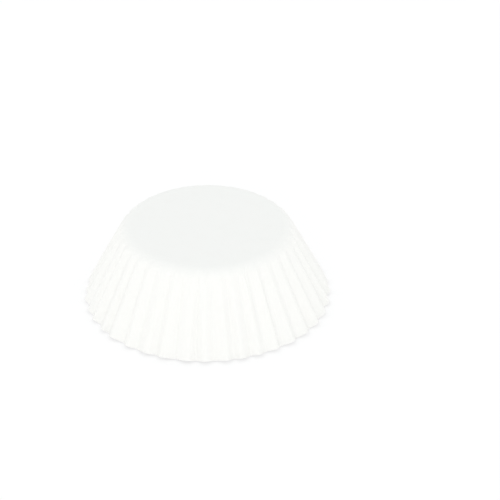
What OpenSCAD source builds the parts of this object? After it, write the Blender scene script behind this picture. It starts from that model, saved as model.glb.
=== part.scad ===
// A pleated paper baking cup, standing mouth down on its rim.
// It is pressed from one flat round blank. The wall is narrower than the blank that it is
// made from, so the spare paper stands up in pleats, which grow deeper towards the rim.

/* [Cup] */
// Diameter of the base, out to where the lines of base and wall meet
base_d = 37.5; // [33:0.5:45]
// Diameter of the rim, midway between the crests and the valleys of the pleats
rim_d = 55.5; // [50:0.5:62]
// Height from the base to the rim, midway between the crests and the valleys
cup_h = 18.1; // [15:0.1:24]
// Radius of the bend between base and wall
bend_r = 3.4; // [1.5:0.1:5]
// Thickness of the paper
paper_t = 0.06; // [0.05:0.01:0.2]

/* [Pleats] */
// Number of pleats round the wall
pleat_count = 40; // [28:4:52]
// Share of the spare paper at the bend that stands up in the pleats. Fine creases take the rest.
take_up_bend = 0.9; // [0.6:0.05:1]
// The same share at the rim, where the pleats have opened
take_up_rim = 0.55; // [0.4:0.05:1]
// Roundness of the valleys: 1 is a sharp fold, 2 is as round as the crests
valley_round = 1.6; // [1:0.1:2]

/* [Smoothness] */
// Longest facet across a pleat, at the rim
facet_across = 0.82; // [0.7:0.02:1.6]
// Longest facet down the wall
facet_down = 8.6; // [4:0.2:20]
// Largest angle that one facet of the bend turns through
facet_angle = 27; // [16:1:40]

/* [Hidden] */

base_r = base_d / 2;
rim_r = rim_d / 2;
wall_len = norm([rim_r - base_r, cup_h]);
// Lean of the wall from upright, and the angle that the bend turns through
flare = atan((rim_r - base_r) / cup_h);
turn = 90 - flare;
// The bend starts and ends this far from the corner where the lines of base and wall meet
bend_reach = bend_r * tan(turn / 2);
flat_r = base_r - bend_reach;
// Lengths of paper, measured outwards from the edge of the flat base
bend_s = bend_r * turn * PI / 180;
rim_s = bend_s + wall_len - bend_reach;
// The wall's paper runs on this far into the flat base, so that it overlaps the base's disc
flat_lap = bend_r / 2;
// The step along the paper, and the share of a pleat, over which a slope is measured
slope_step = 0.02;

pleats = round(pleat_count);
// An even number of points to a pleat puts one on each crest and one on each valley
pleat_points = 2 * ceil(half_paper(rim_s) / facet_across);
columns = pleats * pleat_points;
bend_rings = ceil(turn / facet_angle);
wall_rings = ceil((rim_s - bend_s) / facet_down);
ring_s = [
    -flat_lap,
    for (j = [0:bend_rings]) bend_s * j / bend_rings,
    for (j = [1:wall_rings]) bend_s + (rim_s - bend_s) * j / wall_rings
];
rings = len(ring_s);

// The wall without its pleats, at a length of paper s from the edge of the flat base
function lean(s) = max(min(s / bend_s, 1), 0) * turn;
function flat_s(s) = min(s, 0);
function wall_s(s) = max(s - bend_s, 0);
function mean_r(s) = flat_r + flat_s(s) + bend_r * sin(lean(s)) + wall_s(s) * sin(flare);
function mean_drop(s) = bend_r * (1 - cos(lean(s))) + wall_s(s) * cos(flare);

// Half of a pleat is a right triangle: the paper is its long side, and half of the pleat's
// width is a short side. The other short side is the pleat's depth.
function half_paper(s) = PI * (flat_r + s) / pleats;
function half_width(s) = PI * mean_r(s) / pleats;
function take_up(s) = take_up_bend + (take_up_rim - take_up_bend) * max(s / rim_s, 0);
function depth(s) = take_up(s) * sqrt(max(pow(half_paper(s), 2) - pow(half_width(s), 2), 0));

// 1 on the crests, where u is a whole number of pleats, and -1 in the valleys
function wave(u) = 2 * pow(abs(cos(180 * u)), valley_round) - 1;

// The middle of the paper, u pleats round the cup. The flat base lies at z = 0.
function sheet_point(s, u) =
    let (
        out = depth(s) / 2 * wave(u),
        r = mean_r(s) + out * sin(lean(s)),
        angle = 360 * u / pleats
    )
    [r * cos(angle), r * sin(angle), out * cos(lean(s)) - mean_drop(s)];

function slope_down(s, u) = sheet_point(s + slope_step, u) - sheet_point(s - slope_step, u);
function slope_round(s, u) = sheet_point(s, u + slope_step) - sheet_point(s, u - slope_step);
function unit(v) = v / norm(v);
function normal(s, u) = s <= 0 ? [0, 0, 1] : unit(cross(slope_down(s, u), slope_round(s, u)));

// A skin lies half the paper's thickness from its middle: outside for side 1, inside for -1
function skin_point(s, u, side) = sheet_point(s, u) + side * paper_t / 2 * normal(s, u);
function skin_points(side) = [
    for (s = ring_s, i = [0:columns - 1]) skin_point(s, i / pleat_points, side)
];

// The rim stands on the tips of its valleys
rim_drop = -min([for (side = [-1, 1]) skin_point(rim_s, 0.5, side).z]);

// Places in the list of points: ring j and column i, on the outer and the inner skin
function outer(j, i) = j * columns + i % columns;
function inner(j, i) = rings * columns + outer(j, i);

// Two triangles fill a patch. Their shared side runs down and away from the nearer crest, so
// that the two halves of a pleat mirror each other.
function patch(a, b, c, d, i) =
    i % pleat_points < pleat_points / 2 ? [[a, b, c], [a, c, d]] : [[a, b, d], [b, c, d]];

function outer_faces() = [
    for (j = [0:rings - 2], i = [0:columns - 1])
        each patch(outer(j, i), outer(j, i + 1), outer(j + 1, i + 1), outer(j + 1, i), i)
];
function inner_faces() = [
    for (j = [0:rings - 2], i = [0:columns - 1])
        let (seen_from_outside =
            patch(inner(j, i), inner(j, i + 1), inner(j + 1, i + 1), inner(j + 1, i), i))
        for (face = seen_from_outside) [face[2], face[1], face[0]]
];
// The cut edge at the rim, and the edge of the wall's paper inside the base
function edge_faces() =
    let (rim = rings - 1)
    [
        for (i = [0:columns - 1])
            each [
                each patch(outer(rim, i), outer(rim, i + 1), inner(rim, i + 1), inner(rim, i), i),
                each patch(inner(0, i), inner(0, i + 1), outer(0, i + 1), outer(0, i), i)
            ]
    ];

module pleated_wall() {
    polyhedron(
        points = concat(skin_points(1), skin_points(-1)),
        faces = concat(outer_faces(), inner_faces(), edge_faces())
    );
}

module flat_base() {
    cylinder(r = flat_r - flat_lap / 2, h = paper_t, center = true, $fn = 2 * pleats);
}

module liner() {
    color([0.96, 0.96, 0.95])
        translate([0, 0, rim_drop])
            union() {
                flat_base();
                pleated_wall();
            }
}

liner();
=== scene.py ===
import math

import bpy
import numpy as np
from mathutils import Matrix, Vector


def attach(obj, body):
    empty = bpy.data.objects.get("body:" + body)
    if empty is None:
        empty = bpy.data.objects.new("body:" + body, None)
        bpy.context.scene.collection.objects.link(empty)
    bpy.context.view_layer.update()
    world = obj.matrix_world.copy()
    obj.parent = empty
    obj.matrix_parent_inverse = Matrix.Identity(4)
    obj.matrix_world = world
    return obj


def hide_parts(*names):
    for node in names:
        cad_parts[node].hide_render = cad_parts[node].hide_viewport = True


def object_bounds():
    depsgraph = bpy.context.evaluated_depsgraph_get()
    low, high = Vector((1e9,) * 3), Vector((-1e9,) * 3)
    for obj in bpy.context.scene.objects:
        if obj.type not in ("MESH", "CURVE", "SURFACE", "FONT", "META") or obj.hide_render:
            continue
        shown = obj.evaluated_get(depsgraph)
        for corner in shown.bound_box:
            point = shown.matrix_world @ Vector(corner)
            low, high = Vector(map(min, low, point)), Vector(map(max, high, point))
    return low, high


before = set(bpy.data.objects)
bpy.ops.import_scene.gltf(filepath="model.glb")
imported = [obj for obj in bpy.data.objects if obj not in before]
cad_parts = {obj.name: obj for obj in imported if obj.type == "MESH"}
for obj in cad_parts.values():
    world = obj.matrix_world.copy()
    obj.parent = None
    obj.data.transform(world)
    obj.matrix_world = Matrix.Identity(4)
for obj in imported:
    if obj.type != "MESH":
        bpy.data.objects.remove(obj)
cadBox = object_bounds()

# A white pleated baking cup stands mouth down on a pale floor.
# Lengths are in millimetres, and a length times mm is in metres. The dictionaries give angles
# in degrees.
mm = 0.001
fullHeight = cadBox[1][2] / mm      # of the cup, from the floor to the outside of its base


# Nodes as Python expressions

class Wire:
    # One output of a node. Sums and products of wires and numbers add their Math nodes.
    def __init__(self, tree, socket):
        self.tree = tree
        self.socket = socket

    def maths(self, operation, first, second):
        return addNode(self.tree, "ShaderNodeMath", {"operation": operation}, {0: first, 1: second})

    def __add__(self, other):
        return self.maths("ADD", self, other)

    def __sub__(self, other):
        return self.maths("SUBTRACT", self, other)

    def __rsub__(self, other):
        return self.maths("SUBTRACT", other, self)

    def __mul__(self, other):
        return self.maths("MULTIPLY", self, other)

    __radd__ = __add__
    __rmul__ = __mul__


def addNode(tree, kind, settings=None, sockets=None, output=0):
    # Settings go first, because some of them change which sockets a node has
    node = tree.nodes.new(kind)
    for name, value in (settings or {}).items():
        setattr(node, name, value)
    for name, value in (sockets or {}).items():
        if isinstance(value, Wire):
            tree.links.new(value.socket, node.inputs[name])
        else:
            node.inputs[name].default_value = value
    return Wire(tree, node.outputs[output]) if node.outputs else None


def mixColours(tree, factor, first, second):
    # A Mix node takes its two colours at sockets 6 and 7, and gives the mixture at output 2
    sockets = {"Factor": factor, 6: first, 7: second}
    return addNode(tree, "ShaderNodeMix", {"data_type": "RGBA"}, sockets, output=2)


def emptyTree(owner):
    owner.use_nodes = True
    owner.node_tree.nodes.clear()
    return owner.node_tree


def seenDirectly(tree):
    # 1 for the camera and for what gloss and glass show, 0 for light on its way to a surface
    rays = addNode(tree, "ShaderNodeLightPath")
    outputs = rays.socket.node.outputs
    kinds = ("Camera", "Glossy", "Transmission")
    return sum(Wire(tree, outputs[f"Is {kind} Ray"]) for kind in kinds)


# The cup

cup = dict(
    baseRadius=18.75,           # out to where the lines of base and wall meet
    rimRadius=27.75,            # midway between the crests and the valleys
    height=18.1,                # from the base to the middle of the rim's wave
    bendRadius=3.4,
    paper=0.06,                 # thickness
    pleats=40,
    takeUpTop=0.8,              # the share of the spare paper that stands up in the pleats
    takeUpRim=0.5,
    valleyRoundTop=1.5,         # 1 is a sharp fold, 2 is as round as the crests
    valleyRoundRim=1.8,
    valleyRoundPower=0.7,       # below 1, more of that change comes near the top
    seed=18434,                 # searched for, so that the pleats lie about where the real cup's do
    crestSpread=0.11,           # how much the pleats differ in depth, as a share of it
    driftSpread=0.2,            # how far they drift round the cup, in pleats
    driftPlaces=8,
    shiftSpread=0.05,           # how far their edges stray at the top
    wanderSpread=0.04,          # and how much farther at the rim
    roundSpread=0.15,           # how much the valleys differ in roundness
    creaseDepth=0.03,           # fine creases that gather the rest of the spare paper
    creasesPerPleat=3,
    creaseSpread=0.5,           # how much they differ in depth, as a share of it
    creaseShift=0.2,            # how far they stray, in creases
    creaseStart=0.7,            # where they are half as deep, as a share of the bend
    creaseLength=5.0,           # down the wall
    crinkle=0.022,              # small waves all over the wall
    crinkleLengths=(2.5, 9.0),  # of the shortest and the longest
    crinkleCount=60,
    crinkleStart=4.0,           # how far down the wall they are at their full height
    baseWave=0.05,              # wide waves of the flat base
    baseWaveLengths=(9.0, 30.0),
    baseWaveCount=14,
    baseWaveStart=4.0,          # how far inside the edge of the base they are at their full height
    outOfRound=0.22,            # at the rim
    threeSided=0.6,             # how far it bulges at three places, beside its two-sided oval
    outOfRoundPower=1.5,        # above 1, more of it comes near the rim
    offCentre=0.12,             # of the blank in the press, which makes one side longer
    pointsPerPleat=20,
    baseRings=9,
    baseRingPower=1.4,          # above 1, they crowd towards the edge of the base
    bendRings=12,
    wallRings=24,
    sharpAngle=70,              # a sharper edge, as along the cut rim, isn't shaded as round
)
flare = math.atan2(cup["rimRadius"] - cup["baseRadius"], cup["height"])
turn = math.pi / 2 - flare
# The bend starts and ends this far from where the lines of base and wall meet
bendReach = cup["bendRadius"] * math.tan(turn / 2)
flatRadius = cup["baseRadius"] - bendReach
# Lengths of paper, from the edge of the flat base
bendEnd = cup["bendRadius"] * turn
rimEnd = bendEnd + math.hypot(cup["rimRadius"] - cup["baseRadius"], cup["height"]) - bendReach


def smoothStep(t):
    # 3t^2 - 2t^3 between 0 and 1, and level beyond them
    t = np.clip(t, 0, 1)
    return t * t * (3 - 2 * t)


def throughPleats(values, u):
    # A closed curve through one value at each whole u, with a smooth step between two of them
    step = np.floor(u).astype(int)
    ease = smoothStep(u - step)
    count = len(values)
    return values[step % count] * (1 - ease) + values[(step + 1) % count] * ease


def ripples(rng, x, y, lengths, count, loop=None):
    # A sum of cosines whose wave fronts lie at random angles to x, with a spread of 1. Where
    # x closes on itself after a loop, each has a whole number of waves in it.
    shortest, longest = lengths
    total = 0.0
    for _ in range(count):
        number = 1 / math.exp(rng.uniform(math.log(shortest), math.log(longest)))
        direction, phase = rng.uniform(0, 2 * math.pi, 2)
        alongX = number * math.cos(direction)
        alongY = number * math.sin(direction)
        if loop:
            alongX = round(alongX * loop) / loop
        total = total + np.cos(2 * math.pi * (alongX * x + alongY * y) + phase)
    return total * math.sqrt(2 / count)


def cupSheet(s, u):
    # The middle of the paper. s is the length of paper from the edge of the flat base, and u
    # counts pleats round the cup, with a crest at each whole number. A profile turns through
    # the bend and runs straight down the wall. A pleat's depth is the short side of a right
    # triangle whose long side is half the paper in the pleat, and whose other side is half
    # the pleat's width. On the bend, fine creases still take most of the spare paper.
    rng = np.random.default_rng(cup["seed"])
    pleats = cup["pleats"]
    down = np.clip(s / rimEnd, 0, 1)

    def vary(spread, perPleat=1, offset=0.0):
        # A closed random curve through each pleat, or through each part of it
        values = rng.normal(0, spread, pleats * perPleat)
        return throughPleats(values, perPleat * u - offset)

    drifts = rng.normal(0, cup["driftSpread"], cup["driftPlaces"])
    shift = throughPleats(drifts, u * cup["driftPlaces"] / pleats)
    shift = shift + vary(cup["shiftSpread"], perPleat=2)
    shift = shift + vary(cup["wanderSpread"], perPleat=2) * down

    # The profile, with the blank a little off the middle of the press
    theta = 2 * math.pi * u / pleats
    longSide = rng.uniform(0, 2 * math.pi)
    s = s * (1 + cup["offCentre"] / rimEnd * np.cos(theta - longSide) * down)
    bent = np.clip(s / bendEnd, 0, 1)
    lean = bent * turn
    onWall = np.maximum(s - bendEnd, 0)
    radius = flatRadius + np.minimum(s, 0)
    radius = radius + cup["bendRadius"] * np.sin(lean) + onWall * math.sin(flare)
    drop = cup["bendRadius"] * (1 - np.cos(lean)) + onWall * math.cos(flare)

    # The pleats stand out from the profile, at right angles to it
    halfPaper = math.pi * (flatRadius + s) / pleats
    halfWidth = math.pi * radius / pleats
    takeUp = cup["takeUpTop"] + (cup["takeUpRim"] - cup["takeUpTop"]) * down
    depth = takeUp * smoothStep(bent) * np.sqrt(np.maximum(halfPaper ** 2 - halfWidth ** 2, 0))
    crest = 1 + vary(cup["crestSpread"])
    valley = -1 + vary(cup["crestSpread"], offset=0.5)
    rounding = cup["valleyRoundRim"] - cup["valleyRoundTop"]
    roundness = cup["valleyRoundTop"] + rounding * down ** cup["valleyRoundPower"]
    roundness = roundness * np.exp(vary(cup["roundSpread"]))
    rise = np.abs(np.cos(math.pi * u)) ** roundness
    out = depth / 2 * (valley + (crest - valley) * rise)

    # Fine creases begin on the bend and fade down the wall
    begun = smoothStep(s / bendEnd / cup["creaseStart"] / 2)
    fade = np.exp(-(onWall / cup["creaseLength"]) ** 2)
    strength = 1 + vary(cup["creaseSpread"], perPleat=2)
    creases = cup["creasesPerPleat"] * u + vary(cup["creaseShift"], perPleat=2)
    out = out + cup["creaseDepth"] * begun * fade * strength * np.cos(2 * math.pi * creases)

    # Small crinkles on the wall, and wide waves in the base
    around = math.pi * (cup["baseRadius"] + cup["rimRadius"])
    place = u / pleats * around
    crinkles = ripples(rng, place, s, cup["crinkleLengths"], cup["crinkleCount"], loop=around)
    out = out + cup["crinkle"] * crinkles * np.clip(onWall / cup["crinkleStart"], 0, 1)
    x = radius * np.cos(theta)
    y = radius * np.sin(theta)
    waves = ripples(rng, x, y, cup["baseWaveLengths"], cup["baseWaveCount"])
    out = out + cup["baseWave"] * waves * np.clip(-s / cup["baseWaveStart"], 0, 1) ** 2

    # The rim is a little out of round
    phases = rng.uniform(0, 2 * math.pi, 2)
    bulge = np.cos(2 * theta + phases[0]) + cup["threeSided"] * np.cos(3 * theta + phases[1])
    radius = radius + cup["outOfRound"] * bulge * down ** cup["outOfRoundPower"]

    angle = theta + 2 * math.pi / pleats * shift * bent
    radius = radius + out * np.sin(lean)
    height = out * np.cos(lean) - drop
    return np.stack([radius * np.cos(angle), radius * np.sin(angle), height], axis=-1)


def skinNormals(sheet):
    # Square to both the slope down the paper and the slope round the cup, and of length 1
    downSlope = np.gradient(sheet, axis=0)
    roundSlope = np.roll(sheet, -1, axis=1) - np.roll(sheet, 1, axis=1)
    normal = np.cross(downSlope, roundSlope)
    return normal / np.linalg.norm(normal, axis=2, keepdims=True)


def closedShell(name, sheet, pole, thickness, height):
    # The outer and the inner skin, half the thickness to either side of the sheet, with a
    # point in the middle of each and a strip of cut edge between their last rings. The whole
    # is set down on z = 0 and drawn out to the height.
    rings, columns = sheet.shape[:2]
    offset = skinNormals(sheet) * thickness / 2
    up = np.array([0, 0, thickness / 2])
    outside = (sheet + offset).reshape(-1, 3)
    inside = (sheet - offset).reshape(-1, 3)
    points = np.concatenate([outside, inside, [pole + up], [pole - up]])
    low = points[:, 2].min()
    high = points[:, 2].max()
    points[:, 2] = (points[:, 2] - low) * height / (high - low)

    skin = rings * columns
    last = skin - columns
    column = np.arange(columns)
    following = (column + 1) % columns
    ring = np.arange(rings - 1)[:, None] * columns
    below = ring + columns
    outer = np.stack([ring + column, below + column, below + following, ring + following], axis=-1)
    outer = outer.reshape(-1, 4)
    inner = outer[:, ::-1] + skin
    rim = last + column, skin + last + column, skin + last + following, last + following
    top = np.full(columns, 2 * skin), column, following
    under = np.full(columns, 2 * skin + 1), skin + following, skin + column
    quads = np.concatenate([outer, inner, np.stack(rim, axis=-1)]).tolist()
    fans = np.concatenate([np.stack(top, axis=-1), np.stack(under, axis=-1)]).tolist()
    mesh = bpy.data.meshes.new(name)
    mesh.from_pydata(points * mm, [], quads + fans)
    mesh.validate()
    mesh.shade_smooth()
    mesh.set_sharp_from_angle(angle=math.radians(cup["sharpAngle"]))
    piece = bpy.data.objects.new(name, mesh)
    bpy.context.collection.objects.link(piece)
    return piece


def shares(count):
    # The ends of so many equal parts of a whole
    return np.arange(1, count + 1) / count


def makeCup():
    columns = cup["pleats"] * cup["pointsPerPleat"]
    u = np.arange(columns)[None, :] / cup["pointsPerPleat"]
    base = -flatRadius * (1 - shares(cup["baseRings"])) ** cup["baseRingPower"]
    bend = bendEnd * shares(cup["bendRings"])
    wall = bendEnd + (rimEnd - bendEnd) * shares(cup["wallRings"])
    s = np.concatenate([base, bend, wall])[:, None]
    sheet = cupSheet(s, u)
    pole = np.array([0, 0, sheet[0, :, 2].mean()])
    return closedShell("paperCup", sheet, pole, cup["paper"], fullHeight)


# The paper

paperLook = dict(
    pale=(0.940, 0.942, 0.926, 1),      # the sheet where it is thick
    thin=(0.912, 0.914, 0.894, 1),      # the cloudy spots where it is thinner
    clouds=dict(size=2.6, detail=3),    # the sheet's look-through
    fibres=dict(size=0.55, detail=4),
    grain=dict(size=0.16, detail=2),
    streaks=dict(size=0.8, detail=3),   # fine press lines that run down the wall
    fineness=0.6,                       # of each noise: how strong a finer layer is beside the last
    cloudShare=0.7,                     # of the colour, and the fibres have the rest
    fibreShare=0.65,                    # of the relief, and the grain has the rest
    streakDepth=2.6,                    # of the press lines, beside that relief
    streakStretch=14,                   # how much longer than wide they are
    streakStart=17.0,                   # distances from the axis between which they begin
    streakFull=19.5,
    roughness=0.56,
    roughnessSpread=0.14,
    bumpHeight=0.030,
    specular=0.25,
)


def paperMaterial(look, tubeRadius):
    material = bpy.data.materials.new("greaseproofPaper")
    tree = emptyTree(material)
    place = addNode(tree, "ShaderNodeTexCoord", output=3)       # Object coordinates

    def noise(size, detail, where=place):
        return addNode(tree, "ShaderNodeTexNoise", None, {
            "Vector": where,
            "Scale": 1 / (size * mm),
            "Detail": detail,
            "Roughness": look["fineness"],
        })

    def vectorMaths(operation, *inputs, output=0):
        sockets = dict(enumerate(inputs))
        return addNode(tree, "ShaderNodeVectorMath", {"operation": operation}, sockets, output)

    clouds = noise(**look["clouds"])
    fibres = noise(**look["fibres"])
    grain = noise(**look["grain"])

    # The streaks' noise lies on an upright tube, squeezed from top to bottom
    reach = tubeRadius * mm
    level = vectorMaths("MULTIPLY", place, (1, 1, 0))
    outwards = vectorMaths("NORMALIZE", level)
    fromAxis = vectorMaths("LENGTH", level, output=1)
    squeezed = vectorMaths("MULTIPLY", place, (0, 0, 1 / look["streakStretch"]))
    tube = vectorMaths("MULTIPLY_ADD", outwards, (reach, reach, 0), squeezed)
    streaks = noise(**look["streaks"], where=tube)
    onWall = addNode(tree, "ShaderNodeMapRange", {"interpolation_type": "SMOOTHSTEP"}, {
        "Value": fromAxis,
        "From Min": look["streakStart"] * mm,
        "From Max": look["streakFull"] * mm,
    })

    # Each noise lies about 0.5
    cloudy = clouds * look["cloudShare"] + fibres * (1 - look["cloudShare"])
    roughness = look["roughness"] + look["roughnessSpread"] * (fibres - 0.5)
    relief = fibres * look["fibreShare"] + grain * (1 - look["fibreShare"])
    relief = relief + look["streakDepth"] * streaks * onWall
    bump = addNode(tree, "ShaderNodeBump", None, {
        "Height": relief,
        "Strength": 1.0,
        "Distance": look["bumpHeight"] * mm,
    })
    shader = addNode(tree, "ShaderNodeBsdfPrincipled", None, {
        "Base Color": mixColours(tree, cloudy, look["thin"], look["pale"]),
        "Roughness": roughness,
        "Specular IOR Level": look["specular"],
        "Normal": bump,
    })
    addNode(tree, "ShaderNodeOutputMaterial", None, {"Surface": shader})
    return material


paperCup = makeCup()
print("cup:", len(paperCup.data.polygons), "faces,", cup["pleats"], "pleats")
greaseproofPaper = paperMaterial(paperLook, cup["baseRadius"])
paperCup.data.materials.append(greaseproofPaper)
print("paper:", len(greaseproofPaper.node_tree.nodes), "nodes")
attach(paperCup, "root")
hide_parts("liner")


# The floor and the light from all round

plainWhite = (1, 1, 1, 1)
room = dict(
    floorSize=2400,
    floorSeen=(0.98, 0.98, 0.98, 1),
    floorLit=(0.95, 0.93, 0.92, 1),     # what the floor throws back on the cup
    floorGlow=0.72,                     # how much of what the camera sees of it is plain white
    floorWhite=1.03,                    # and how strong that white is
    overhead=(0.840, 0.863, 0.869, 1),  # the soft light from all round grows towards the floor
    horizon=(1.50, 1.47, 1.45, 1),
)


def makeFloor():
    half = room["floorSize"] / 2 * mm
    mesh = bpy.data.meshes.new("floor")
    corners = [(-half, -half, 0), (half, -half, 0), (half, half, 0), (-half, half, 0)]
    mesh.from_pydata(corners, [], [(0, 1, 2, 3)])
    floor = bpy.data.objects.new("floor", mesh)
    bpy.context.collection.objects.link(floor)
    material = bpy.data.materials.new("paleFloor")
    tree = emptyTree(material)
    seen = seenDirectly(tree)
    lit = addNode(tree, "ShaderNodeBsdfDiffuse", None, {"Color": room["floorLit"]})
    shaded = addNode(tree, "ShaderNodeBsdfDiffuse", None, {"Color": room["floorSeen"]})
    white = addNode(tree, "ShaderNodeEmission", None, {
        "Color": plainWhite,
        "Strength": room["floorWhite"],
    })
    glow = room["floorGlow"]
    shown = addNode(tree, "ShaderNodeMixShader", None, {0: glow, 1: shaded, 2: white})
    surface = addNode(tree, "ShaderNodeMixShader", None, {0: seen, 1: lit, 2: shown})
    addNode(tree, "ShaderNodeOutputMaterial", None, {"Surface": surface})
    mesh.materials.append(material)


def makeDaylight():
    # At a height z on the unit sphere the sky is (1 - z)^2 of the way to the horizon's colour.
    # Seen directly it is white.
    world = bpy.data.worlds.new("daylight")
    tree = emptyTree(world)
    direction = addNode(tree, "ShaderNodeTexCoord")
    height = addNode(tree, "ShaderNodeSeparateXYZ", None, {0: direction}, output=2)
    low = 1 - height.maths("MAXIMUM", height, 0.0)
    sky = mixColours(tree, low * low, room["overhead"], room["horizon"])
    colour = mixColours(tree, seenDirectly(tree), sky, plainWhite)
    light = addNode(tree, "ShaderNodeBackground", None, {"Color": colour, "Strength": 1.0})
    addNode(tree, "ShaderNodeOutputWorld", None, {"Surface": light})
    bpy.context.scene.world = world


# The lamp

lamp = dict(
    bearing=-6,                 # round from the camera's side towards the right
    elevation=22,
    distance=1800,
    size=900,
    level=0.07,                 # what a white surface that faces it shows of it alone
    colour=(1.0, 0.97, 0.95),
)


def makeLamp():
    # On a white surface that faces it, an area lamp of power P at distance d shows P / (pi d)^2
    bearing = math.radians(lamp["bearing"])
    elevation = math.radians(lamp["elevation"])
    level = math.cos(elevation)
    x = math.sin(bearing) * level
    y = -math.cos(bearing) * level
    direction = Vector((x, y, math.sin(elevation)))
    light = bpy.data.lights.new("frontLamp", "AREA")
    light.shape = "DISK"
    light.size = lamp["size"] * mm
    light.color = lamp["colour"]
    light.energy = lamp["level"] * (math.pi * lamp["distance"] * mm) ** 2
    holder = bpy.data.objects.new("frontLamp", light)
    holder.location = direction * lamp["distance"] * mm
    holder.rotation_euler = direction.to_track_quat("Z", "Y").to_euler()
    bpy.context.collection.objects.link(holder)


# The camera

shot = dict(
    frameWidth=500,             # pixels
    focalPixels=2225,
    basePixel=(206.6, 224.7),   # where the middle of the base shows
    elevation=32.4,
    distance=500,               # from the middle of the base, along the camera's own axis
    filmWidth=36,
    nearest=10,
    farthest=20000,
)


def makeCamera():
    # It looks along +Y and down, from aside, so that the middle of the base shows at its pixel
    slant = math.radians(shot["elevation"])
    right = Vector((1, 0, 0))
    up = Vector((0, math.sin(slant), math.cos(slant)))
    forward = Vector((0, math.cos(slant), -math.sin(slant)))
    middle = shot["frameWidth"] / 2
    perPixel = shot["distance"] / shot["focalPixels"]
    sideways = (shot["basePixel"][0] - middle) * perPixel
    above = (middle - shot["basePixel"][1]) * perPixel
    target = Vector((0, 0, fullHeight))
    spot = target - forward * shot["distance"] - right * sideways - up * above
    data = bpy.data.cameras.new("camera")
    data.sensor_width = shot["filmWidth"]
    data.lens = shot["filmWidth"] * shot["focalPixels"] / shot["frameWidth"]
    data.clip_start = shot["nearest"] * mm
    data.clip_end = shot["farthest"] * mm
    camera = bpy.data.objects.new("camera", data)
    turned = Matrix((right, up, -forward)).transposed().to_4x4()
    camera.matrix_world = Matrix.Translation(spot * mm) @ turned
    bpy.context.collection.objects.link(camera)
    bpy.context.scene.camera = camera


makeFloor()
makeDaylight()
makeLamp()
makeCamera()
bpy.context.scene.view_settings.view_transform = "Standard"
print("stage: floor, daylight, lamp and camera")
